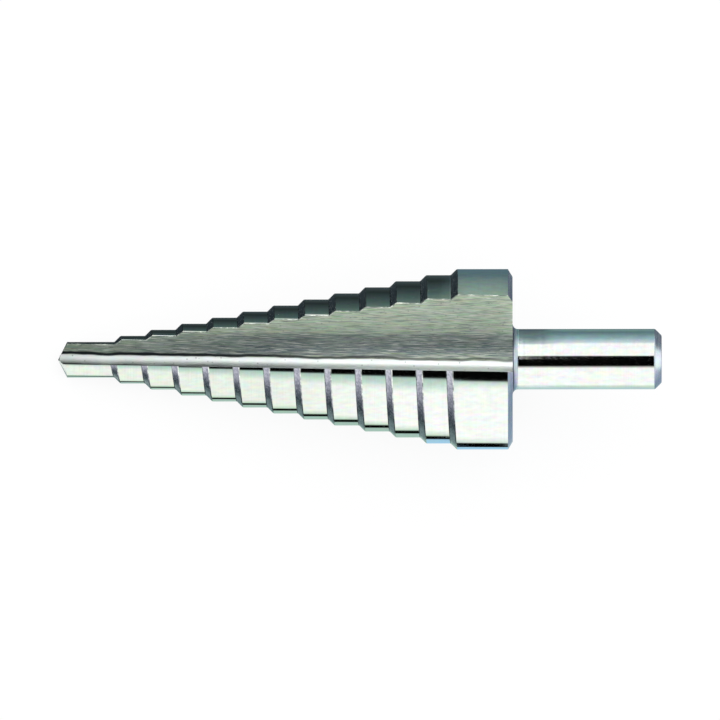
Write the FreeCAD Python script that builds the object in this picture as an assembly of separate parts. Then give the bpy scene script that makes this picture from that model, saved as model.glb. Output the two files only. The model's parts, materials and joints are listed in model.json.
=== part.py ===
import FreeCAD, Part
import math
import os

# Step drill with two straight flutes, ground from one bar of tool steel. Sizes are in millimetres.
# It is shaped along X, with the tip at X = 0 and the shank towards +X, and laid down at the end.
# Angles round the axis run from +Z towards +Y, which is the way the drill turns when it cuts.

# Hole sizes
pilot_diameter = 6.0
diameter_rise = 2.0
step_count = 12

# Lengths along the cutting edge and the shank
first_step_at = 9.7
step_pitch = 5.06
last_land_length = 9.95
shank_length = 24.7

# Point and shoulders, as full angles
point_angle = 126.0
shoulder_angle = 90.0

# Relief: what each surface has fallen back by a quarter turn behind the cutting edge
land_relief = 0.06
shoulder_relief = 0.8
point_relief = 0.25
relief_lead = 60.0
point_relief_lead = 95.0

# Flutes
web_at_tip = 1.3
web_at_back = 4.1
rake_drop_at_tip = 0.75
rake_drop_at_back = 2.1
wall_angle = 50.0
gutter_radius = 1.75

# Back of the head
back_chamfer_depth = 1.35
back_chamfer_length = 0.8

# Shank
shank_diameter = 10.0
neck_fillet = 0.9
shank_chamfer = 1.1
shank_edge_round = 0.4

AXIS = FreeCAD.Vector(1, 0, 0)
ORIGIN = FreeCAD.Vector(0, 0, 0)

last_step_at = first_step_at + (step_count - 1) * step_pitch
head_length = last_step_at + last_land_length
overall_length = head_length + shank_length
head_radius = pilot_diameter / 2 + step_count * diameter_rise / 2
shank_radius = shank_diameter / 2


def around(angle, radius, along=0.0):
    """The point at an angle round the axis, a radius from it and a length along it."""
    turn = math.radians(angle)
    return FreeCAD.Vector(along, radius * math.sin(turn), radius * math.cos(turn))


def slope(full_angle):
    """Length along the axis for each unit of radius on a cone of this full angle."""
    return 1.0 / math.tan(math.radians(full_angle / 2))


def between_ends(at_tip, at_back, along):
    """A size that changes evenly from the tip to the back of the head."""
    return at_tip + (at_back - at_tip) * along / head_length


def step_radius(step):
    return (pilot_diameter + step * diameter_rise) / 2


def step_start(step):
    """Where a step reaches its full diameter at the cutting edge; step 0 is the pilot."""
    if step == 0:
        return slope(point_angle) * step_radius(0)
    return first_step_at + (step - 1) * step_pitch


def edge_angle(step):
    """The cutting edge lies below the centre line, by the drop of the rake face."""
    drop = between_ends(rake_drop_at_tip, rake_drop_at_back, step_start(step))
    return -math.degrees(math.asin(drop / step_radius(step)))


def eccentricity(fall, lead):
    """Offset of a round surface that has fallen back by this much a quarter turn behind the edge."""
    return fall / (math.cos(math.radians(lead)) - math.cos(math.radians(lead + 90)))


def relieved_barrel(step):
    """The round land of a step, on an axis set over so that it falls away behind the cutting edge."""
    centre = around(edge_angle(step) + relief_lead, eccentricity(land_relief, relief_lead))
    edge = around(edge_angle(step), step_radius(step))
    start = step_start(step) - step_radius(step)
    end = head_length
    if step < step_count:
        end = step_start(step + 1) + step_pitch / 2
    return Part.makeCylinder((edge - centre).Length, end - start, centre + AXIS * start, AXIS)


def relieved_shoulder(step):
    """The cone in front of a step, set over like its land, so that it recedes behind the edge."""
    rise = slope(shoulder_angle)
    centre = around(edge_angle(step) + relief_lead, eccentricity(shoulder_relief, relief_lead) / rise)
    edge = around(edge_angle(step), step_radius(step))
    apex = step_start(step) - (edge - centre).Length * rise
    height = head_length + step_pitch - apex
    return Part.makeCone(0, height / rise, height, centre + AXIS * apex, AXIS)


def flute_middle():
    """The angle at which the flute opens, through its rounded corner at the tip."""
    centre = gutter_centre(0)
    return math.degrees(math.atan2(centre.y, centre.z))


def land_side():
    """The stepped lands behind one cutting edge, on that edge's side of the axis."""
    steps = [relieved_barrel(0)]
    for step in range(1, step_count + 1):
        steps.append(relieved_barrel(step).common(relieved_shoulder(step)))
    stepped = steps[0].fuse(steps[1:])
    reach = 2 * head_radius
    half = Part.makeBox(2 * head_length, reach, 2 * reach, FreeCAD.Vector(-head_length / 2, -reach, -reach))
    half.rotate(ORIGIN, AXIS, -flute_middle())
    return stepped.common(half)


def point_cone(side_angle):
    """One flank of the point, a cone set over ahead of its lip, with its apex in front of the tip."""
    set_over = eccentricity(point_relief, point_relief_lead) / slope(point_angle)
    centre = around(edge_angle(0) + point_relief_lead + side_angle, set_over)
    apex = -set_over * slope(point_angle)
    height = 2 * head_length
    return Part.makeCone(0, height / slope(point_angle), height, centre + AXIS * apex, AXIS)


def gutter_centre(along):
    """Centre of the flute's rounded corner, a gutter radius above the rake face."""
    drop = between_ends(rake_drop_at_tip, rake_drop_at_back, along)
    web = between_ends(web_at_tip, web_at_back, along)
    up = gutter_radius - drop
    out = math.sqrt((gutter_radius + web / 2) ** 2 - up ** 2)
    return FreeCAD.Vector(along, up, out)


def flute():
    """The channel between the rake face and the far wall, ending square at the back of the head."""
    fall = gutter_centre(head_length) - gutter_centre(0)
    reach = 2 * head_radius
    wall = math.radians(wall_angle)
    wall_direction = FreeCAD.Vector(0, math.sin(wall), math.cos(wall))
    wall_normal = FreeCAD.Vector(0, math.cos(wall), -math.sin(wall))
    deepest = math.radians(wall_angle / 2)
    on_rake = FreeCAD.Vector(0, -gutter_radius, 0)
    on_gutter = FreeCAD.Vector(0, -math.sin(deepest), -math.cos(deepest)) * gutter_radius
    on_wall = wall_normal * gutter_radius
    rake_end = on_rake + FreeCAD.Vector(0, 0, reach)
    wall_end = on_wall + wall_direction * reach
    outline = Part.Wire([
        Part.LineSegment(rake_end, on_rake).toShape(),
        Part.Arc(on_rake, on_gutter, on_wall).toShape(),
        Part.LineSegment(on_wall, wall_end).toShape(),
        Part.LineSegment(wall_end, rake_end).toShape(),
    ])
    channel = Part.Face(outline).extrude(AXIS * (3 * head_length))
    along_flute = FreeCAD.Rotation(AXIS, fall)
    start = gutter_centre(0) - fall
    channel.transformShape(FreeCAD.Placement(start, along_flute).toMatrix(), True)
    behind = 2 * head_length
    stop = Part.makeBox(behind, 2 * behind, 2 * behind, FreeCAD.Vector(head_length, -behind, -behind))
    return channel.cut(stop)


def head():
    """The cutting head: two relieved sides, the point, the back chamfer and the two flutes."""
    side = land_side()
    other_side = side.copy()
    other_side.rotate(ORIGIN, AXIS, 180)
    body = side.fuse(other_side)
    body = body.common(point_cone(0)).common(point_cone(180))
    chamfer_slope = back_chamfer_depth / back_chamfer_length
    back_radius = head_radius - back_chamfer_depth
    envelope_length = head_length + first_step_at
    front_radius = back_radius + envelope_length * chamfer_slope
    envelope = Part.makeCone(front_radius, back_radius, envelope_length, AXIS * -first_step_at, AXIS)
    body = body.common(envelope)
    channel = flute()
    other_channel = channel.copy()
    other_channel.rotate(ORIGIN, AXIS, 180)
    return body.cut(channel).cut(other_channel)


def shank():
    """The round shank, with a fillet where it meets the head and a chamfered end."""
    neck_end = head_length + neck_fillet
    middle = neck_fillet * (1 - math.sqrt(0.5))
    points = [
        FreeCAD.Vector(head_length, 0, 0),
        FreeCAD.Vector(head_length, shank_radius + neck_fillet, 0),
        FreeCAD.Vector(head_length + middle, shank_radius + middle, 0),
        FreeCAD.Vector(neck_end, shank_radius, 0),
        FreeCAD.Vector(overall_length - shank_chamfer, shank_radius, 0),
        FreeCAD.Vector(overall_length, shank_radius - shank_chamfer, 0),
        FreeCAD.Vector(overall_length, 0, 0),
    ]
    outline = Part.Wire([
        Part.LineSegment(points[0], points[1]).toShape(),
        Part.Arc(points[1], points[2], points[3]).toShape(),
        Part.LineSegment(points[3], points[4]).toShape(),
        Part.LineSegment(points[4], points[5]).toShape(),
        Part.LineSegment(points[5], points[6]).toShape(),
        Part.LineSegment(points[6], points[0]).toShape(),
    ])
    bar = Part.Face(outline).revolve(ORIGIN, AXIS, 360)
    rims = [edge for edge in bar.Edges if on_rim(edge, points[4]) or on_rim(edge, points[5])]
    return bar.makeFillet(shank_edge_round, rims)


def on_rim(edge, rim_point):
    """Whether an edge is the circle round the axis through this point of the profile."""
    if not isinstance(edge.Curve, Part.Circle):
        return False
    same_place = abs(edge.Curve.Center.x - rim_point.x) < 1e-6
    same_radius = abs(edge.Curve.Radius - rim_point.y) < 1e-6
    return same_place and same_radius


def nearest_corner(shape, guess):
    """The corner of the shape that lies nearest to a point."""
    return min((vertex.Point for vertex in shape.Vertexes), key=lambda point: (point - guess).Length)


def heel_angle(step):
    """Where the far wall of the second flute meets the land of a step, behind its cutting edge."""
    centre = gutter_centre(step_start(step))
    wall = math.radians(wall_angle)
    from_axis = centre.y * math.cos(wall) - centre.z * math.sin(wall) + gutter_radius
    return 180 + wall_angle + math.degrees(math.asin(from_axis / step_radius(step)))


def lay_down(tool):
    """Turns the drill to the pose it rests in: one flute down, on the pilot and the largest step."""
    rake_corner = nearest_corner(
        tool, around(180 + edge_angle(step_count), head_radius, step_start(step_count)))
    heel_corner = nearest_corner(
        tool, around(heel_angle(step_count), head_radius, step_start(step_count) + shoulder_relief))
    pilot_corners = [
        nearest_corner(tool, around(180 + edge_angle(0), step_radius(0), step_start(0))),
        nearest_corner(tool, around(heel_angle(0), step_radius(0), step_start(0))),
    ]
    middle = around(flute_middle(), 1.0)
    pilot_corner = min(pilot_corners, key=lambda point: point.dot(middle))
    up = (heel_corner - rake_corner).cross(pilot_corner - rake_corner).normalize()
    if up.dot(middle) < 0:
        up = up * -1
    across = up.cross(AXIS).normalize()
    lengthwise = across.cross(up)
    turn = FreeCAD.Rotation(lengthwise, across, up, "ZXY").inverted()
    laid = tool.transformed(FreeCAD.Placement(ORIGIN, turn).toMatrix(), True)
    box = laid.optimalBoundingBox(False, False)
    floor_height = turn.multVec(rake_corner).z
    laid.translate(FreeCAD.Vector(-box.Center.x, -box.Center.y, -floor_height))
    return laid


def step_drill():
    return lay_down(head().fuse(shank()).removeSplitter())


os.makedirs("parts", exist_ok=True)
step_drill().exportStep("parts/step_drill.step")
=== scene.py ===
"""The step drill's finished surfaces, with the studio and the camera that show them.

The drill is shaped along X in its own frame, tip at the origin, shank towards +X, in millimetres.
Angles round its axis run from +Z towards +Y. Each side of the drill is the other one turned half
round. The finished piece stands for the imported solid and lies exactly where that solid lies.
"""

import json
import math

import bmesh
import bpy
from mathutils import Matrix, Vector


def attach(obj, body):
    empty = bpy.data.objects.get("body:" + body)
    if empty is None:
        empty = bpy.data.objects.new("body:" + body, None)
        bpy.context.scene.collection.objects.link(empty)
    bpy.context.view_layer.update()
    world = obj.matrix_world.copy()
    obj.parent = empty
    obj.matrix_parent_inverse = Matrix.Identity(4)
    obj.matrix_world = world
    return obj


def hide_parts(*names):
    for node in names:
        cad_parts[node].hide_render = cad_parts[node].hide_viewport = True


# The drill's sizes, in millimetres and degrees
pilot_diameter = 6.0
diameter_rise = 2.0
step_count = 12
first_step_at = 9.7
step_pitch = 5.06
last_land_length = 9.95
shank_length = 24.7
point_angle = 126.0
shoulder_angle = 90.0
land_relief = 0.06
shoulder_relief = 0.8
point_relief = 0.25
relief_lead = 60.0
point_relief_lead = 95.0
web_at_tip = 1.3
web_at_back = 4.1
rake_drop_at_tip = 0.75
rake_drop_at_back = 2.1
wall_angle = 50.0
gutter_radius = 1.75
back_chamfer_depth = 1.35
back_chamfer_length = 0.8
shank_diameter = 10.0
neck_fillet = 0.9
shank_chamfer = 1.1
shank_chamfer_angle = 45.0
shank_edge_round = 0.4

# What only the finished drill has: eased corners, filled roots in painted shade, the turn round the
# flute's rounded corner at which the wall's finish begins, and the angle from which an edge is shaded as
# sharp
edge_break = 0.1
root_width = 0.08
gutter_finish_turn = 88.0
sharp_angle = 15.0

# How finely the surfaces are divided
rake_inner_columns = 4
wall_inner_columns = 8
back_rows = 4
gutter_front_columns = 14
gutter_back_columns = 22
chisel_columns = 8
point_rows = 8
neck_columns = 24
corner_rows = 6
neck_root_rows = 3

# Rows along the straight shank, as shares of its length, with the outer ones close to its ends
straight_shares = (0.01, 0.5, 0.99)

# Where the cutting edge, the heel and the chisel edge's end are looked for, in degrees, and the
# number of rounds that halving a range or sliding to the front takes
edge_search = (-60.0, 20.0)
heel_search = (-160.0, -90.0)
chisel_search_margin = 1.0
halvings = 50
slides = 12

# Corners nearer to each other than the first are joined, and edges shorter than the second are
# removed, in millimetres
weld_distance = 0.002
shortest_edge = 0.001

# The photograph's framing, in the drill's millimetres and in degrees
picture_width = 119.3
picture_middle = 50.02
picture_drop = 0.095
picture_turn = -0.07
camera_height = 600.0
camera_reach = 10000.0

mm = 0.001

last_step_at = first_step_at + (step_count - 1) * step_pitch
head_length = last_step_at + last_land_length
overall_length = head_length + shank_length
head_radius = pilot_diameter / 2 + step_count * diameter_rise / 2
back_radius = head_radius - back_chamfer_depth
shank_radius = shank_diameter / 2
neck_radius = shank_radius + neck_fillet

# Rows of the stepped profile: 0 is the rim of the point, then two for each step, the start of the
# back chamfer and its end
last_step_row = 2 * step_count
last_row = last_step_row + 2


def around(angle, radius, along=0.0):
    """The point at an angle round the axis, a radius from it and a length along it."""
    turn = math.radians(angle)
    return Vector((along, radius * math.sin(turn), radius * math.cos(turn)))


def angle_of(place):
    """The angle round the axis at which a place lies."""
    return math.degrees(math.atan2(place.y, place.z))


def slope(full_angle):
    """Length along the axis for each unit of radius on a cone of this full angle."""
    return 1.0 / math.tan(math.radians(full_angle / 2))


def between_ends(at_tip, at_back, along):
    """A size that changes evenly from the tip to the back of the head."""
    return at_tip + (at_back - at_tip) * along / head_length


def mix(start, end, share):
    """The number or the place that lies a share of the way from start to end."""
    return start + (end - start) * share


def evenly(start, end, count):
    """The count + 1 values from start to end."""
    return [mix(start, end, k / count) for k in range(count + 1)]


def turned_half(point):
    """The same place on the other side of the drill."""
    return Vector((point.x, -point.y, -point.z))


def step_radius(step):
    """Radius of a step at its cutting edge; step 0 is the pilot."""
    return (pilot_diameter + step * diameter_rise) / 2


def step_start(step):
    """Where a step reaches its full diameter at the cutting edge."""
    if step == 0:
        return slope(point_angle) * step_radius(0)
    return first_step_at + (step - 1) * step_pitch


def edge_angle(step):
    """The cutting edge lies below the drill's middle, by the drop of the rake face."""
    drop = between_ends(rake_drop_at_tip, rake_drop_at_back, step_start(step))
    return -math.degrees(math.asin(drop / step_radius(step)))


def eccentricity(fall, lead):
    """Offset of a round surface that has fallen back by this much a quarter turn behind the edge."""
    return fall / (math.cos(math.radians(lead)) - math.cos(math.radians(lead + 90)))


def land_radius(step, angle):
    """Distance from the axis to the relieved land of a step, at an angle round the drill."""
    centre = around(edge_angle(step) + relief_lead, eccentricity(land_relief, relief_lead))
    barrel = (around(edge_angle(step), step_radius(step)) - centre).length
    reach = centre.dot(around(angle, 1.0))
    return reach + math.sqrt(barrel ** 2 - centre.length_squared + reach ** 2)


def shoulder_at(step, angle, radius):
    """How far back the relieved shoulder in front of a step lies, at an angle and a radius."""
    rise = slope(shoulder_angle)
    centre = around(edge_angle(step) + relief_lead, eccentricity(shoulder_relief, relief_lead) / rise)
    edge = around(edge_angle(step), step_radius(step))
    return step_start(step) + rise * ((around(angle, radius) - centre).length - (edge - centre).length)


def point_cone(place):
    """How far back the first side's flank of the point lies, over a place in the cross-section."""
    set_over = eccentricity(point_relief, point_relief_lead) / slope(point_angle)
    centre = around(edge_angle(0) + point_relief_lead, set_over)
    flat = Vector((0, place.y, place.z))
    return slope(point_angle) * ((flat - centre).length - set_over)


def point_front(place):
    """How far back the point's surface lies, where both of its flanks have been ground."""
    return max(point_cone(place), point_cone(turned_half(place)))


def gutter_centre(along):
    """Centre of the flute's rounded corner, a gutter radius above the rake face."""
    drop = between_ends(rake_drop_at_tip, rake_drop_at_back, along)
    web = between_ends(web_at_tip, web_at_back, along)
    up = gutter_radius - drop
    return Vector((along, up, math.sqrt((gutter_radius + web / 2) ** 2 - up ** 2)))


# The first flute: its direction, how far its rounded corner turns from the rake face to the wall, and
# the directions in which these two faces look
flute_run = (gutter_centre(head_length) - gutter_centre(0)).normalized()
flute_turn = Vector((1, 0, 0)).rotation_difference(flute_run)
gutter_sweep = 180.0 - wall_angle
wall_turn = math.radians(wall_angle)
rake_normal = flute_turn @ Vector((0, 1, 0))
wall_normal = flute_turn @ Vector((0, -math.cos(wall_turn), math.sin(wall_turn)))


def in_gutter(turn, along):
    """The place on the flute's rounded corner, from the rake face at 0 round to the wall."""
    angle = math.radians(turn)
    out = flute_turn @ Vector((0, -math.cos(angle), -math.sin(angle))) * gutter_radius
    start = gutter_centre(0) + out
    return start + flute_run * ((along - start.x) / flute_run.x)


def above_rake(place):
    """Height of a place above the first flute's rake face."""
    return (place - in_gutter(0, 0)).dot(rake_normal)


def above_wall(place):
    """Height of a place above the far wall of the first flute."""
    return (place - in_gutter(gutter_sweep, 0)).dot(wall_normal)


def on_profile(row, angle):
    """The place at an angle on one row of the first side's stepped profile."""
    if row == 0:
        place = around(angle, land_radius(0, angle))
        place.x = point_cone(place)
        return place
    if row == last_row:
        return around(angle, back_radius, head_length)
    step = (row + 1) // 2
    if step > step_count:
        radius = land_radius(step_count, angle)
        chamfer = (radius - back_radius) * back_chamfer_length / back_chamfer_depth
        return around(angle, radius, head_length - chamfer)
    radius = land_radius(step if row % 2 == 0 else step - 1, angle)
    return around(angle, radius, shoulder_at(step, angle, radius))


def side_finish(row):
    """The finish between a row of the stepped profile and the next one."""
    if row == last_row - 1:
        return "turned"
    return "land" if row % 2 == 0 else "shoulder"


def crossing(height, low, high):
    """The value between low and high at which a height changes sign, found by halving."""
    rising = height(high) > 0
    for _ in range(halvings):
        middle = (low + high) / 2
        if (height(middle) > 0) == rising:
            high = middle
        else:
            low = middle
    return (low + high) / 2


def edge_of_rake(row):
    """The angle at which the cutting edge crosses a row of the first side."""
    return crossing(lambda angle: above_rake(on_profile(row, angle)), *edge_search)


def heel_of_land(row):
    """The angle at which the second flute's wall ends a row of the first side."""
    return crossing(lambda angle: above_wall(turned_half(on_profile(row, angle))), *heel_search)


def slid_to_front(place):
    """A place of the flute, slid along the flute until it lies on the point's surface."""
    for _ in range(slides):
        place = place + flute_run * ((point_front(place) - place.x) / flute_run.x)
    return place


def meets_neck(inner, outer):
    """The share of the way from inner to outer at which a line passes the neck's radius."""
    def outside(share):
        place = mix(inner, outer, share)
        return math.hypot(place.y, place.z) - neck_radius
    return crossing(outside, 0.0, 1.0)


def gutter_turns():
    """Turns of the columns round the flute's corner, one of them at the end of the chisel edge."""
    def past_chisel(turn):
        place = slid_to_front(in_gutter(turn, 0))
        return point_cone(place) - point_cone(turned_half(place))
    chisel_turn = crossing(past_chisel, chisel_search_margin, gutter_sweep - chisel_search_margin)
    turns = evenly(0, chisel_turn, gutter_front_columns)
    return turns + evenly(chisel_turn, gutter_sweep, gutter_back_columns)[1:]


def gutter_rows(edge, heel, turns):
    """The flute's rounded corner, with a row from the rake to the wall for each row of the profile."""
    rows = []
    for edge_place, heel_place in zip(edge, heel):
        lengths = [mix(edge_place.x, heel_place.x, turn / gutter_sweep) for turn in turns]
        rows.append([in_gutter(turn, along) for turn, along in zip(turns, lengths)])
    rows[0] = [slid_to_front(place) for place in rows[0]]
    return rows


def strip(foot, outer_edge, shares):
    """Rows of places across a flat flute face, each from the face's foot to its stepped edge."""
    rows = [[mix(inner, outer, share) for share in shares] for inner, outer in zip(foot, outer_edge)]
    rows[0] = [slid_to_front(place) for place in rows[0][:-1]] + rows[0][-1:]
    return rows


def flute_faces(edge, heel, turns):
    """The rake face, the rounded corner and the wall of the first flute, in rows from the tip back."""
    gutter = gutter_rows(edge, heel, turns)
    rake_foot = [row[0] for row in gutter]
    wall_foot = [row[-1] for row in gutter]
    rake_neck = meets_neck(rake_foot[-1], edge[-1])
    wall_neck = meets_neck(wall_foot[-1], heel[-1])
    rake_shares = evenly(0, rake_neck, rake_inner_columns) + evenly(rake_neck, 1, back_rows)[1:]
    wall_shares = evenly(0, wall_neck, wall_inner_columns) + evenly(wall_neck, 1, back_rows)[1:]
    return strip(rake_foot, edge, rake_shares), gutter, strip(wall_foot, heel, wall_shares)


def chisel_edge(end):
    """The edge across the tip in which the two flanks of the point meet, from this end of it."""
    places = []
    for share in evenly(0, 1, chisel_columns):
        place = mix(end, turned_half(end), share)
        place.x = point_cone(place)
        places.append(place)
    return places


def flank_border(rake, gutter, wall):
    """The inner line of the first flank: along one flute, over the chisel edge and along the other."""
    near_flute = rake[0][::-1] + gutter[0][1:gutter_front_columns]
    far_flute = gutter[0][gutter_front_columns + 1:] + wall[0][1:]
    chisel = chisel_edge(gutter[0][gutter_front_columns])
    return near_flute + chisel + [turned_half(place) for place in far_flute]


def point_flank(rim, border):
    """Rows of places over one flank of the point, from its rim to its inner line."""
    rows = []
    for share in evenly(0, 1, point_rows):
        row = [mix(outer, inner, share) for outer, inner in zip(rim, border)]
        if 0 < share < 1:
            for place in row:
                place.x = point_cone(place)
        rows.append(row)
    return rows


class Surfaces:
    """Patches of the drill's surface, each a grid of places with one finish."""

    def __init__(self):
        self.mesh = bmesh.new()
        self.finishes = []

    def finish_number(self, finish):
        """The number of a finish among the mesh's materials, which is new if it wasn't used yet."""
        if finish not in self.finishes:
            self.finishes.append(finish)
        return self.finishes.index(finish)

    def face(self, places, finish):
        """One face with a corner at each of these places."""
        self.join([self.corner(place) for place in places], finish)

    def corner(self, place):
        """A new corner of the mesh, from a place in millimetres."""
        return self.mesh.verts.new(place * mm)

    def join(self, corners, finish):
        """A smooth face between corners that the mesh has."""
        made = self.mesh.faces.new(corners)
        made.smooth = True
        made.material_index = self.finish_number(finish)

    def grid(self, rows, finish):
        """A patch on both sides, given as rows of places; finish is a name or a function of the row."""
        for turn in (Vector, turned_half):
            corners = [[self.corner(turn(place)) for place in row] for row in rows]
            for number, (row, next_row) in enumerate(zip(corners, corners[1:])):
                name = finish(number) if callable(finish) else finish
                for k in range(len(row) - 1):
                    self.join([row[k], row[k + 1], next_row[k + 1], next_row[k]], name)

    def flat(self, loop, finish):
        """One flat patch inside a loop of places, and the same on the other side."""
        for turn in (Vector, turned_half):
            self.face([turn(place) for place in loop], finish)

    def close(self):
        """Joins the patches along their shared lines and turns every face outwards."""
        bmesh.ops.remove_doubles(self.mesh, verts=self.mesh.verts, dist=weld_distance * mm)
        bmesh.ops.dissolve_degenerate(self.mesh, dist=shortest_edge * mm, edges=self.mesh.edges)
        bmesh.ops.recalc_face_normals(self.mesh, faces=self.mesh.faces)

    def ease_corners(self, pairs, outer, width, finish):
        """Flattens the outer, or the inner, corners where these pairs of finishes meet."""
        wanted = [{self.finishes.index(name) for name in pair} for pair in pairs]
        corners = [
            edge for edge in self.mesh.edges
            if edge.is_convex == outer and {face.material_index for face in edge.link_faces} in wanted
        ]
        bmesh.ops.bevel(self.mesh, geom=corners, offset=width * mm, offset_type="OFFSET", segments=1,
                        profile=0.5, affect="EDGES", material=self.finish_number(finish))
        for face in self.mesh.faces:
            face.smooth = True


def rounded_corner(before, corner, after, radius):
    """Places along the arc that rounds one corner of an outline in the plane of X and Z."""
    back = (before - corner).normalized()
    ahead = (after - corner).normalized()
    half = back.angle(ahead) / 2
    centre = corner + (back + ahead).normalized() * (radius / math.sin(half))
    start = corner + back * (radius / math.tan(half)) - centre
    end = corner + ahead * (radius / math.tan(half)) - centre
    sweep = start.angle(end)
    return [
        centre + (start * math.sin(sweep - part) + end * math.sin(part)) / math.sin(sweep)
        for part in evenly(0, sweep, corner_rows)
    ]


def shank_outline():
    """The shank's outline from the neck to the rim of its end, with the finish of each stretch."""
    wall = Vector((head_length, 0, shank_radius))
    rim = Vector((overall_length - shank_chamfer, 0, shank_radius))
    end_rim = Vector((overall_length, 0, shank_radius - shank_chamfer))
    neck = rounded_corner(Vector((head_length, 0, neck_radius)), wall, rim, neck_fillet)
    shoulder = rounded_corner(wall, rim, end_rim, shank_edge_round)
    end = rounded_corner(rim, end_rim, Vector((overall_length, 0, 0)), shank_edge_round)
    straight = [mix(neck[-1], shoulder[0], share) for share in straight_shares]
    # The first rows of the neck's fillet, in the corner by the head, take a dark finish that is painted
    # shade
    stretches = ["neck_root"] * neck_root_rows
    stretches += ["turned"] * (corner_rows - neck_root_rows)
    stretches += ["shank"] * (len(straight) + 1)
    stretches += ["turned"] * (2 * corner_rows + 1)
    return neck + straight + shoulder + end, stretches


def drill_surfaces():
    """All the patches of the drill, with the lines that they share worked out once."""
    rows = range(last_row + 1)
    rake_angles = [edge_of_rake(row) for row in rows]
    heel_angles = [heel_of_land(row) for row in rows]
    edge = [on_profile(row, rake_angles[row]) for row in rows]
    heel = [turned_half(on_profile(row, heel_angles[row])) for row in rows]
    turns = gutter_turns()
    rake, gutter, wall = flute_faces(edge, heel, turns)
    wall_side = next(k for k, turn in enumerate(turns) if turn > gutter_finish_turn)
    border = flank_border(rake, gutter, wall)
    columns = len(border) - 1
    sides = [
        [on_profile(row, angle) for angle in evenly(rake_angles[row], heel_angles[row], columns)]
        for row in rows
    ]

    # The back of the head, from the chamfer down to the neck, and where the flute leaves it open
    start_angle = angle_of(rake[-1][rake_inner_columns])
    end_angle = angle_of(turned_half(wall[-1][wall_inner_columns]))
    neck_angles = evenly(start_angle, end_angle, columns)
    neck_arc = [around(angle, neck_radius, head_length) for angle in neck_angles]
    back = [
        [mix(outer, inner, share) for outer, inner in zip(sides[-1], neck_arc)]
        for share in evenly(0, 1, back_rows)
    ]
    open_angles = evenly(end_angle + 180.0, start_angle, neck_columns)
    open_arc = [around(angle, neck_radius, head_length) for angle in open_angles]
    flute_end = rake[-1][rake_inner_columns:0:-1] + gutter[-1] + wall[-1][1:wall_inner_columns + 1]
    flute_end += open_arc[1:-1]

    outline, stretches = shank_outline()
    ring_angles = open_angles[:-1] + neck_angles
    shank = [[around(angle, place.z, place.x) for angle in ring_angles] for place in outline]
    half_rim = shank[-1][:-1]

    surfaces = Surfaces()
    surfaces.grid(sides, side_finish)
    surfaces.grid(rake, "rake")
    surfaces.grid([row[:wall_side + 1] for row in gutter], "gutter")
    surfaces.grid([row[wall_side:] for row in gutter], "flute_wall")
    surfaces.grid(wall, "flute_wall")
    surfaces.grid(point_flank(sides[0], border), "point")
    surfaces.grid(back, "turned")
    surfaces.flat(flute_end, "turned")
    surfaces.grid(shank, lambda row: stretches[row])
    surfaces.face(half_rim + [turned_half(place) for place in half_rim], "turned")
    surfaces.close()
    return surfaces


def resting_pose(mount):
    """The turn and the move that lay the drill on its three lowest corners, where the frame has it."""
    middle = gutter_centre(0)
    middle.x = 0
    rake_corner = turned_half(on_profile(last_step_row, edge_of_rake(last_step_row)))
    heel_corner = on_profile(last_step_row, heel_of_land(last_step_row))
    pilot_corners = (turned_half(on_profile(0, edge_of_rake(0))), on_profile(0, heel_of_land(0)))
    pilot_corner = min(pilot_corners, key=lambda place: place.dot(middle))
    up = (heel_corner - rake_corner).cross(pilot_corner - rake_corner).normalized()
    if up.dot(middle) < 0:
        up = -up
    across = up.cross(Vector((1, 0, 0))).normalized()
    lengthwise = across.cross(up)
    turn = Matrix((lengthwise, across, up))
    rounding = shank_edge_round * math.tan(math.radians(shank_chamfer_angle / 2))
    straight_end = overall_length - shank_chamfer - rounding
    mount_middle = Vector((head_length + neck_fillet + straight_end, 0, 0)) / 2
    place = Vector(mount["pos_m"]) - turn @ mount_middle * mm
    return Matrix.Translation(place) @ turn.to_4x4()


class Nodes:
    """Adds nodes to a tree and links them."""

    def __init__(self, tree):
        self.tree = tree

    def add(self, kind, inputs=None, **settings):
        """A new node; its inputs are values or outputs of other nodes, by their name or number."""
        node = self.tree.nodes.new("ShaderNode" + kind)
        for name, value in settings.items():
            setattr(node, name, value)
        for name, value in (inputs or {}).items():
            if isinstance(value, bpy.types.NodeSocket):
                self.tree.links.new(value, node.inputs[name])
            else:
                node.inputs[name].default_value = value
        return node

    def math(self, operation, first, second=0.0):
        """The result of one operation on one or two numbers."""
        return self.add("Math", {0: first, 1: second}, operation=operation).outputs[0]

    def spread(self, value, low, high, to_low=0.0, to_high=1.0):
        """A value between low and high, carried over to another range and held inside it."""
        inputs = {"Value": value, "From Min": low, "From Max": high, "To Min": to_low, "To Max": to_high}
        return self.add("MapRange", inputs).outputs[0]

    def ramp(self, factor, stops):
        """A colour ramp over stops of place and colour, whose places are all set before the colours."""
        node = self.add("ValToRGB", {"Fac": factor})
        ramp = node.color_ramp
        while len(ramp.elements) < len(stops):
            ramp.elements.new(1.0)
        for element, (place, _) in zip(ramp.elements, stops):
            element.position = place
        for element, (_, colour) in zip(ramp.elements, stops):
            element.color = (*colour, 1)
        return node.outputs["Color"]

    def mixed(self, share, first, second, blend="MIX"):
        """One colour mixed into another, by the numbers of the sockets, since their names repeat."""
        node = self.add("Mix", {0: share, 6: first, 7: second}, data_type="RGBA", blend_type=blend)
        return node.outputs[2]

    def noise(self, place, lengthwise, crosswise, detail=2.0, output="Fac"):
        """Noise whose grains have these lengths, in millimetres, along the drill and across it."""
        scale = (1 / (lengthwise * mm), 1 / (crosswise * mm), 1 / (crosswise * mm))
        stretched = self.add("VectorMath", {0: place, 1: scale}, operation="MULTIPLY").outputs[0]
        return self.add("TexNoise", {"Vector": stretched, "Scale": 1.0, "Detail": detail}).outputs[output]


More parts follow.
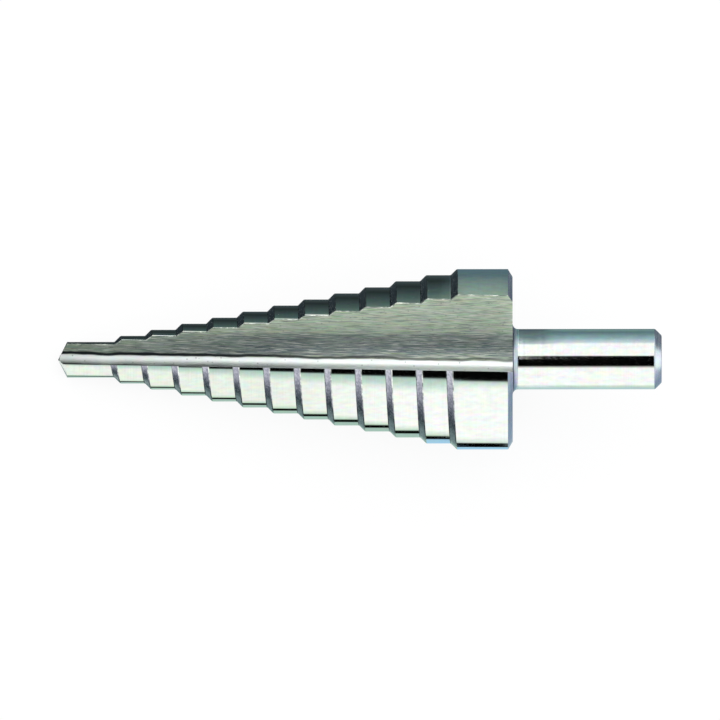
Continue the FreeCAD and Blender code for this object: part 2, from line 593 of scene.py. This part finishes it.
# Ranges of a noise's values: where nearly all of them lie, where the streaks of the grain blend, and
# where the edges of patches lie
noise_range = (0.3, 0.7)
grain_range = (0.36, 0.64)
patch_range = (0.38, 0.62)

# How much rougher and smoother than its roughness the grain makes a finish, as a share
gloss_change = 0.2

# A band of painted shade down the flute, in millimetres: how far its edges wander and over what
# lengths, how soft they are, how far back it reaches its full tint, and the share of it that shows at the
# tip
shade_band_wander = 0.5
shade_band_marks = (4.0, 0.3)
shade_band_low_edge = 0.4
shade_band_high_edge = 0.3
shade_band_full_at = 34.0
shade_band_at_tip = 0.2

# A line of painted shade down the flute, in millimetres: half the width of its dark core, how far it
# wanders and over what lengths; and the tints of these lines and of pits
shade_line_core = 0.13
shade_line_wander = 0.16
shade_line_marks = (5.0, 5.0)
shade_line_tint = (0.03, 0.035, 0.04)
pit_tint = (0.05, 0.06, 0.06)


def drill_place(nodes, pose):
    """A place in the drill's own frame, in metres."""
    place = nodes.add("TexCoord").outputs["Object"]
    inputs = {"Vector": place, "Location": pose.translation, "Rotation": pose.to_euler()}
    return nodes.add("Mapping", inputs, vector_type="TEXTURE").outputs["Vector"]


def stained(tint, share, patches=(2.6, 0.9)):
    """A layer of patches in another tint; their size is along the drill and across it."""
    def layer(nodes, place, colour):
        shown = nodes.spread(nodes.noise(place, *patches), *patch_range, 0.0, share)
        return nodes.mixed(shown, colour, (*tint, 1))
    return layer


def mottled(share, patches=(1.6, 0.8)):
    """A layer of faint mixed tints, such as coolant leaves on ground steel."""
    def layer(nodes, place, colour):
        tints = nodes.noise(place, *patches, output="Color")
        return nodes.mixed(share, colour, tints, "LINEAR_LIGHT")
    return layer


def in_flute(nodes, place):
    """How far back a place lies, and its height and depth in the flute that it is nearest to."""
    parts = nodes.add("SeparateXYZ", {"Vector": place}).outputs
    height = nodes.math("MULTIPLY", parts["Y"], nodes.math("SIGN", parts["Z"]))
    return parts["X"], height, nodes.math("ABSOLUTE", parts["Z"])


def wandering(nodes, place, marks, reach):
    """A length that wanders between -reach and +reach, over marks of this size."""
    return nodes.spread(nodes.noise(place, *marks), *noise_range, -reach * mm, reach * mm)


def shaded_band(tint, low, high, deep=False):
    """A layer of painted shade that darkens the flute between two heights, or two depths, over the drill's
    middle.
    """
    def layer(nodes, place, colour):
        along, height, depth = in_flute(nodes, place)
        wander = wandering(nodes, place, shade_band_marks, shade_band_wander)
        level = nodes.math("ADD", depth if deep else height, wander)
        over_low = nodes.spread(level, (low - shade_band_low_edge) * mm, (low + shade_band_low_edge) * mm)
        under_high = nodes.spread(
            level, (high - shade_band_high_edge) * mm, (high + shade_band_high_edge) * mm, 1.0, 0.0)
        inside = nodes.math("MULTIPLY", over_low, under_high)
        full = nodes.spread(along, 0.0, shade_band_full_at * mm, shade_band_at_tip, 1.0)
        return nodes.mixed(nodes.math("MULTIPLY", inside, full), colour, (*tint, 1), "MULTIPLY")
    return layer


def shade_line(at_tip, at_back, dark_at_tip, dark_at_back, half_width=0.34):
    """A layer with a dark uneven line of painted shade down the flute, at these heights above the drill's
    middle.

    A darkness over 1 shows as 1, and one below 0 as none.
    """
    def layer(nodes, place, colour):
        along, height, _ = in_flute(nodes, place)
        line = nodes.spread(along, 0.0, head_length * mm, at_tip * mm, at_back * mm)
        wander = wandering(nodes, place, shade_line_marks, shade_line_wander)
        off = nodes.math("ABSOLUTE", nodes.math("ADD", nodes.math("SUBTRACT", height, line), wander))
        dark = nodes.spread(along, 0.0, head_length * mm, dark_at_tip, dark_at_back)
        shown = nodes.spread(off, shade_line_core * mm, half_width * mm, 1.0, 0.0)
        return nodes.mixed(nodes.math("MULTIPLY", shown, dark), colour, (*shade_line_tint, 1))
    return layer


def scratched(tint, share, marks, low, high):
    """A layer of thin scratches, which begin where their noise passes low and are full past high.

    Their marks are sized along the drill and across it.
    """
    def layer(nodes, place, colour):
        shown = nodes.spread(nodes.noise(place, *marks, detail=1.0), low, high, 0.0, share)
        return nodes.mixed(shown, colour, (*tint, 1))
    return layer


def pitted(share, spacing=1.1, size=0.16):
    """A layer of small dark pits."""
    def layer(nodes, place, colour):
        holes = nodes.add("TexVoronoi", {"Vector": place, "Scale": 1 / (spacing * mm)}).outputs["Distance"]
        return nodes.mixed(nodes.spread(holes, size / 2, size, share, 0.0), colour, (*pit_tint, 1))
    return layer


def steel(pose, name, dark, light, roughness, grain, depth, layers=(), anisotropic=0.0):
    """Ground steel whose grain shows in its colour, gloss and height, under further layers.

    The grain is the length of its marks along the drill and across it, the depth their height.
    """
    material = bpy.data.materials.new(name)
    material.use_nodes = True
    nodes = Nodes(material.node_tree)
    shader = material.node_tree.nodes["Principled BSDF"]
    shader.inputs["Metallic"].default_value = 1.0
    link = material.node_tree.links.new
    place = drill_place(nodes, pose)
    streaks = nodes.noise(place, *grain, detail=3.0)
    colour = nodes.mixed(nodes.spread(streaks, *grain_range), (*dark, 1), (*light, 1))
    for layer in layers:
        colour = layer(nodes, place, colour)
    link(colour, shader.inputs["Base Color"])
    smoothest = roughness * (1 - gloss_change)
    roughest = roughness * (1 + gloss_change)
    link(nodes.spread(streaks, *noise_range, smoothest, roughest), shader.inputs["Roughness"])
    bump = nodes.add("Bump", {"Height": nodes.math("MULTIPLY", streaks, depth * mm), "Distance": 1.0})
    link(bump.outputs[0], shader.inputs["Normal"])
    if anisotropic:
        shader.inputs["Anisotropic"].default_value = anisotropic
        normal = nodes.add("NewGeometry").outputs["Normal"]
        lengthwise = pose.to_3x3() @ Vector((1, 0, 0))
        across = nodes.add("VectorMath", {0: normal, 1: lengthwise}, operation="CROSS_PRODUCT")
        link(across.outputs[0], shader.inputs["Tangent"])
    return material


# Grains of the finishes, in millimetres along the drill and across it
around_the_drill = (0.25, 8.0)
along_the_drill = (3.6, 0.09)
short_marks = (0.5, 0.5)
worn_marks = (0.9, 0.9)

# A tint and some layers for the finishes below; the three dark lines down the flute are painted shade
warm_stain = (0.94, 0.89, 0.88)
corner_shade_line = shade_line(at_tip=1.15, at_back=-0.15, dark_at_tip=1.25, dark_at_back=0.55)
rake_shade_line = shade_line(at_tip=-0.74, at_back=-2.08, dark_at_tip=1.0, dark_at_back=-0.5)
rake_shade = shade_line(at_tip=-0.74, at_back=-2.08, dark_at_tip=0.72, dark_at_back=-0.3, half_width=1.3)
dark_scratches = scratched((0.26, 0.29, 0.28), 0.9, (6.0, 0.09), 0.58, 0.64)
pale_scratches = scratched((1.0, 1.0, 0.92), 1.0, (9.0, 0.08), 0.58, 0.63)

finishes = {
    "land": dict(
        name="polished_land", dark=(0.85, 0.88, 0.85), light=(0.90, 0.91, 0.91), roughness=0.05,
        grain=around_the_drill, depth=0.00005, layers=(stained(warm_stain, 0.5), mottled(0.17))),
    "shoulder": dict(
        name="ground_shoulder", dark=(0.66, 0.67, 0.70), light=(0.92, 0.92, 0.94), roughness=0.2,
        grain=short_marks, depth=0.001),
    "eased_corner": dict(
        name="worn_corner", dark=(0.25, 0.27, 0.27), light=(0.97, 0.97, 0.95), roughness=0.2,
        grain=worn_marks, depth=0.001),
    "worn_heel": dict(
        name="worn_heel", dark=(0.20, 0.23, 0.21), light=(0.95, 0.97, 0.90), roughness=0.25,
        grain=worn_marks, depth=0.001, layers=(stained((0.14, 0.17, 0.15), 0.9, (1.3, 0.7)),)),
    # Painted shade in the inner corners at the shoulders' feet
    "shoulder_root": dict(
        name="shaded_root", dark=(0.08, 0.10, 0.11), light=(0.35, 0.37, 0.38), roughness=0.3,
        grain=worn_marks, depth=0.001),
    # The rake's darker inner band is painted shade
    "rake": dict(
        name="ground_rake", dark=(0.50, 0.51, 0.54), light=(0.62, 0.63, 0.66), roughness=0.3,
        grain=along_the_drill, depth=0.001, layers=(shaded_band((0.42, 0.42, 0.46), 0.0, 6.3, deep=True),)),
    # The gutter's three dark lines are painted shade
    "gutter": dict(
        name="ground_gutter", dark=(0.84, 0.86, 0.87), light=(0.95, 0.96, 0.97), roughness=0.36,
        grain=along_the_drill, depth=0.0003, anisotropic=0.7,
        layers=(mottled(0.1), rake_shade, corner_shade_line, rake_shade_line, pitted(0.4))),
    # The wall's two lavender bands and its dark line down the corner are painted shade
    "flute_wall": dict(
        name="scratched_flute", dark=(0.46, 0.60, 0.42), light=(0.90, 1.0, 0.80), roughness=0.36,
        grain=along_the_drill, depth=0.003, anisotropic=0.8,
        layers=(
            stained((0.76, 0.72, 0.64), 0.42, (6.0, 0.3)), mottled(0.18, (3.0, 0.3)), dark_scratches,
            shaded_band((0.58, 0.59, 0.68), 0.6, 4.2), shaded_band((0.76, 0.77, 0.82), 0.9, 2.6),
            pale_scratches, corner_shade_line, pitted(0.3))),
    "point": dict(
        name="ground_point", dark=(0.75, 0.78, 0.78), light=(0.90, 0.92, 0.92), roughness=0.25,
        grain=short_marks, depth=0.001),
    "turned": dict(
        name="turned_steel", dark=(0.63, 0.65, 0.68), light=(0.81, 0.83, 0.85), roughness=0.25,
        grain=around_the_drill, depth=0.001, layers=(mottled(0.18),)),
    # Painted shade in the neck's corner next to the head
    "neck_root": dict(
        name="shaded_neck", dark=(0.16, 0.16, 0.19), light=(0.28, 0.28, 0.32), roughness=0.25,
        grain=around_the_drill, depth=0.001),
    "shank": dict(
        name="polished_shank", dark=(0.86, 0.89, 0.86), light=(0.90, 0.91, 0.91), roughness=0.055,
        grain=around_the_drill, depth=0.0001, layers=(stained(warm_stain, 0.4), mottled(0.2))),
}


def new_object(name, data):
    """A new object in the scene."""
    made = bpy.data.objects.new(name, data)
    bpy.context.scene.collection.objects.link(made)
    return made


def drill(pose):
    """The finished drill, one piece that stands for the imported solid."""
    surfaces = drill_surfaces()
    corners = (("land", "shoulder"),)
    heels = (("land", "flute_wall"), ("shoulder", "flute_wall"), ("eased_corner", "flute_wall"))
    surfaces.ease_corners(corners, True, edge_break, "eased_corner")
    surfaces.ease_corners(heels, True, edge_break, "worn_heel")
    # The inner corners at the shoulders' feet are filled with a dark finish, painted shade
    surfaces.ease_corners(corners, False, root_width, "shoulder_root")
    mesh = bpy.data.meshes.new("finished_drill")
    surfaces.mesh.to_mesh(mesh)
    surfaces.mesh.free()
    mesh.transform(pose)
    for finish in surfaces.finishes:
        mesh.materials.append(steel(pose, **finishes[finish]))
    mesh.set_sharp_from_angle(angle=math.radians(sharp_angle))
    piece = new_object("finished_drill", mesh)
    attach(piece, "root")
    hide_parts("step_drill")


# Colours of the light tent round the drill, whose bands of light and shade are placed by their angle
# round the drill's axis, in degrees: 0 is towards the camera and 90 towards the top of the picture
black = (0.0, 0.0, 0.0)
white = (1.05, 1.09, 1.06)
pale_window = (0.92, 0.99, 0.90)
bright_window = (2.7, 2.7, 2.7)
pale_bright_window = (1.35, 1.42, 1.36)
hot_strip = (3.2, 3.2, 3.0)
dim_strip = (0.6, 0.7, 0.7)
green_edge = (0.45, 0.62, 0.55)
end_cloth = (1.15, 1.25, 1.30)
blue_floor = (0.38, 0.66, 0.86)
green_floor = (0.40, 0.58, 0.50)


def head_bands(window, upper_window, strip_light, floor_light=green_floor):
    """What the lands of the head reflect: two windows, a black flag between them and dark cloth above."""
    return [
        (-180, floor_light),
        (-143, floor_light),
        (-140, black),
        (-131, black),
        (-127, (0.62, 0.80, 0.66)),
        (-113, window),
        (-48, window),
        (-36, (0.62, 0.80, 0.70)),
        (-27, green_edge),
        (-25, black),
        (-2, black),
        (2, upper_window),
        (62, upper_window),
        (68, strip_light),
        (84, strip_light),
        (89, (0.13, 0.20, 0.17)),
        (103, (0.065, 0.113, 0.105)),
        (117, (0.042, 0.066, 0.066)),
        (135, (0.02, 0.03, 0.03)),
        (162, (0.05, 0.07, 0.075)),
    ]


def last_step_bands(upper_window, strip_light):
    """What the land of the last step reflects."""
    return [
        (-180, blue_floor),
        (-153, blue_floor),
        (-150.5, black),
        (-135.5, black),
        (-133, (0.70, 0.85, 0.75)),
        (-118, white),
        (-38, white),
        (-29, (0.62, 0.78, 0.70)),
        (-27, black),
        (-2, black),
        (2, upper_window),
        (62, upper_window),
        (68, strip_light),
        (84, strip_light),
        (90, (0.27, 0.38, 0.32)),
        (110, (0.20, 0.29, 0.27)),
        (135, (0.10, 0.17, 0.19)),
        (180, (0.08, 0.15, 0.19)),
    ]


# What the shank and the neck reflect, then the bands past the tip and at the tent's two ends
shank_bands = [
    (-180, (0.44, 0.61, 0.62)),
    (-142, (0.50, 0.68, 0.68)),
    (-127, (0.66, 0.80, 0.68)),
    (-113, white),
    (-35, white),
    (-25, black),
    (11, black),
    (14, white),
    (60, white),
    (68, (0.60, 0.72, 0.79)),
    (86, (0.30, 0.47, 0.50)),
    (110, (0.16, 0.27, 0.29)),
    (126, (0.11, 0.20, 0.21)),
    (146, (0.17, 0.30, 0.29)),
    (180, (0.05, 0.10, 0.13)),
]
neck_bands = [
    (-180, (0.44, 0.61, 0.62)),
    (-142, (0.50, 0.68, 0.68)),
    (-113, white),
    (-35, white),
    (-25, black),
    (11, black),
    (14, white),
    (56, white),
    (62, (0.40, 0.52, 0.56)),
    (80, (0.16, 0.24, 0.25)),
    (180, (0.04, 0.07, 0.09)),
]
tip_side_bands = [
    (-180, (0.20, 0.30, 0.30)),
    (-150, (0.16, 0.23, 0.23)),
    (-135, (0.03, 0.05, 0.055)),
    (110, (0.03, 0.045, 0.05)),
    (180, (0.02, 0.03, 0.035)),
]
tip_end_bands = [
    (-180, (1.0, 1.05, 0.98)),
    (-158, (1.0, 1.05, 0.98)),
    (-153, (0.22, 0.31, 0.30)),
    (-146, (0.12, 0.18, 0.18)),
    (-138, (0.02, 0.035, 0.04)),
    (-126, (0.05, 0.07, 0.09)),
    (-112, (0.50, 0.50, 0.60)),
    (-96, (0.66, 0.66, 0.76)),
    (-60, white),
    (40, white),
    (60, (0.50, 0.52, 0.56)),
    (88, (0.05, 0.07, 0.08)),
    (100, (0.02, 0.03, 0.035)),
    (180, (0.015, 0.025, 0.03)),
]
shank_end_bands = [
    (-180, (0.48, 0.52, 0.66)),
    (-160, (0.26, 0.36, 0.46)),
    (-140, (0.24, 0.34, 0.42)),
    (-110, (0.45, 0.50, 0.66)),
    (-60, (0.75, 0.80, 0.86)),
    (60, (0.60, 0.75, 0.78)),
    (110, (0.16, 0.20, 0.24)),
    (180, (0.12, 0.15, 0.20)),
]

# The tent's size in millimetres, and its stations: between two lengths along the drill, the bands
# before give way to the ones named there. The tip's end bands come before the first station.
tent_radius = 350.0
tent_length = 1000.0
tent_sides = 96
tent_stations = (
    (-170, -120, tip_side_bands),
    (-30, -5, head_bands(pale_window, pale_bright_window, pale_window)),
    (36, 56, head_bands(white, bright_window, hot_strip)),
    (60.2, 60.5, head_bands(white, bright_window, hot_strip, blue_floor)),
    (65.0, 65.6, last_step_bands(bright_window, hot_strip)),
    (head_length - 3.0, head_length - 2.5, last_step_bands(white, dim_strip)),
    (head_length - 0.4, head_length, neck_bands),
    (head_length + 5, head_length + 7, shank_bands),
    (130, 180, shank_end_bands),
)

# Past the tent's ends, by how far a direction points along the drill: half the width over which the
# bands of its two ends meet, and where the cloth behind the shank begins and is full
ends_meet = 0.1
end_cloth_from = 0.90
end_cloth_full = 0.97

# The floor: its width in millimetres, its shade, the plain glow that the camera sees over it, and how
# much of what the camera sees is that glow
floor_width = 6000.0
floor_shade = (0.95, 0.95, 0.95)
floor_glow = 1.03
floor_glow_share = 0.85


def lit_round(nodes, vector, bands):
    """The colour of the bands at the angle of a vector round the drill's axis."""
    parts = nodes.add("SeparateXYZ", {"Vector": vector})
    angle = nodes.math("ARCTAN2", parts.outputs["Y"], parts.outputs["Z"])
    share = nodes.spread(angle, -math.pi, math.pi)
    return nodes.ramp(share, [((degrees + 180) / 360, colour) for degrees, colour in bands])


def studio(pose):
    """The world, plain white but for what the steel reflects past the ends of the light tent."""
    world = bpy.data.worlds.new("studio")
    bpy.context.scene.world = world
    world.use_nodes = True
    world.node_tree.nodes.clear()
    nodes = Nodes(world.node_tree)
    direction = nodes.add("TexCoord").outputs["Generated"]
    inputs = {"Vector": direction, "Rotation": pose.to_euler()}
    turned = nodes.add("Mapping", inputs, vector_type="TEXTURE").outputs["Vector"]
    length = nodes.add("SeparateXYZ", {"Vector": turned}).outputs["X"]
    tip_side = lit_round(nodes, turned, tip_end_bands)
    shank_side = lit_round(nodes, turned, shank_end_bands)
    colour = nodes.mixed(nodes.spread(length, -ends_meet, ends_meet), tip_side, shank_side)
    colour = nodes.mixed(nodes.spread(length, end_cloth_from, end_cloth_full), colour, (*end_cloth, 1))
    shiny = nodes.add("Background", {"Color": colour, "Strength": 1.0})
    plain = nodes.add("Background", {"Color": (1, 1, 1, 1), "Strength": 1.0})
    glossy = nodes.add("LightPath").outputs["Is Glossy Ray"]
    shader = nodes.add("MixShader", {0: glossy, 1: plain.outputs[0], 2: shiny.outputs[0]})
    nodes.add("OutputWorld", {"Surface": shader.outputs[0]})


def empty_material(name):
    """A new material without nodes."""
    material = bpy.data.materials.new(name)
    material.use_nodes = True
    material.node_tree.nodes.clear()
    return material


def tent_cloth(pose):
    """The glowing cloth of the light tent, whose bands change from station to station."""
    material = empty_material("light_tent")
    material.cycles.emission_sampling = "NONE"
    nodes = Nodes(material.node_tree)
    place = drill_place(nodes, pose)
    length = nodes.add("SeparateXYZ", {"Vector": place}).outputs["X"]
    colour = lit_round(nodes, place, tip_end_bands)
    for start, end, bands in tent_stations:
        share = nodes.spread(length, start * mm, end * mm)
        colour = nodes.mixed(share, colour, lit_round(nodes, place, bands))
    glow = nodes.add("Emission", {"Color": colour, "Strength": 1.0})
    nodes.add("OutputMaterial", {"Surface": glow.outputs[0]})
    return material


def light_tent(pose):
    """A tube of white cloth and black flags round the drill, which only its reflections show."""
    built = bmesh.new()
    lengthwise = Matrix.Rotation(math.radians(90), 4, "Y")
    bmesh.ops.create_cone(built, cap_ends=False, segments=tent_sides, radius1=tent_radius * mm,
                          radius2=tent_radius * mm, depth=tent_length * mm, matrix=pose @ lengthwise)
    mesh = bpy.data.meshes.new("light_tent")
    built.to_mesh(mesh)
    built.free()
    mesh.materials.append(tent_cloth(pose))
    made = new_object("light_tent", mesh)
    made.visible_camera = False
    made.visible_diffuse = False
    made.visible_transmission = False
    made.visible_shadow = False


def floor_paint():
    """A pale floor that takes soft shadows and is nearly plain white to the camera."""
    material = empty_material("floor")
    nodes = Nodes(material.node_tree)
    path = nodes.add("LightPath")
    shown = nodes.math("MULTIPLY", path.outputs["Is Camera Ray"], floor_glow_share)
    lit = nodes.add("BsdfDiffuse", {"Color": (*floor_shade, 1)})
    plain = nodes.add("Emission", {"Strength": floor_glow})
    shader = nodes.add("MixShader", {0: shown, 1: lit.outputs[0], 2: plain.outputs[0]})
    nodes.add("OutputMaterial", {"Surface": shader.outputs[0]})
    return material


def floor():
    """The plain floor that the drill lies on, which its reflections don't show."""
    mesh = bpy.data.meshes.new("floor")
    half = floor_width * mm / 2
    corners = [(-half, -half, 0), (half, -half, 0), (half, half, 0), (-half, half, 0)]
    mesh.from_pydata(corners, [], [(0, 1, 2, 3)])
    mesh.materials.append(floor_paint())
    made = new_object("floor", mesh)
    made.visible_glossy = False


def camera(pose):
    """A flat view square to the drill's axis, framed as the photograph is."""
    data = bpy.data.cameras.new("camera")
    data.type = "ORTHO"
    data.ortho_scale = picture_width * mm
    data.clip_end = camera_reach * mm
    made = new_object("camera", data)
    place = Vector((picture_middle * mm, -picture_drop * mm, camera_height * mm))
    turn = Matrix.Rotation(math.radians(picture_turn), 4, "Z")
    made.matrix_world = pose @ Matrix.Translation(place) @ turn
    bpy.context.scene.camera = made


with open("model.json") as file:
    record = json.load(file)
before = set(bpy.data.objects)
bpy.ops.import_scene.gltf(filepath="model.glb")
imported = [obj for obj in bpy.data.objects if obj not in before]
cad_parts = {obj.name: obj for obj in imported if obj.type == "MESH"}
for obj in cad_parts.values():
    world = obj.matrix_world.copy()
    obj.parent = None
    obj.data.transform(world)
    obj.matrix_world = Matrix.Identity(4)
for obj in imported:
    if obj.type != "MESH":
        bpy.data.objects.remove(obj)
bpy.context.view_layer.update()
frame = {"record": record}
pose = resting_pose(frame["record"]["mounts"][0])
drill(pose)
camera(pose)
studio(pose)
light_tent(pose)
floor()
bpy.context.scene.view_settings.view_transform = "Standard"
